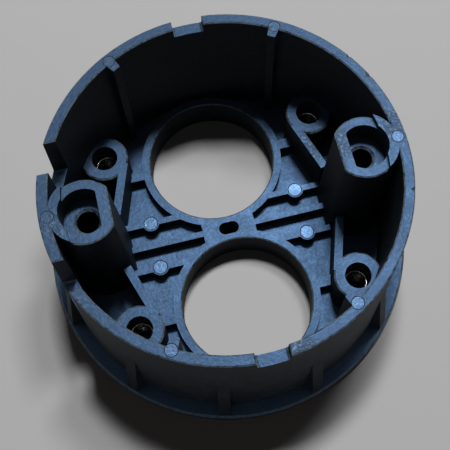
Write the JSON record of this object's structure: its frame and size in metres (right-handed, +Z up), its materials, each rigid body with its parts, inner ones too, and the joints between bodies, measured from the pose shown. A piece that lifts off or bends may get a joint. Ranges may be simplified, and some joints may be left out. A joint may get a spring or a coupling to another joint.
{
  "type": "moulded plastic housing",
  "caption": "Round open-topped moulded housing on a gusseted foot flange: ribbed floor with large through bores, threaded insert bosses and tall screw towers that carry what it encloses.",
  "frame": {"origin": "centre of the foot flange's underside, on the housing's axis", "axes": "+Z up along the housing's axis towards the open rim, +X from the slotted side's tower to the other tower, +Y from one bore to the other"},
  "size_m": [0.0934, 0.0934, 0.0465],
  "materials": {
    "moulded_plastic": "fine spark-textured black moulded plastic",
    "insert_metal": "plated turned metal"
  },
  "bodies": {
    "root": {"housing": "moulded_plastic", "insert_1": "insert_metal", "insert_2": "insert_metal", "insert_3": "insert_metal", "insert_4": "insert_metal"}
  },
  "joints": []
}
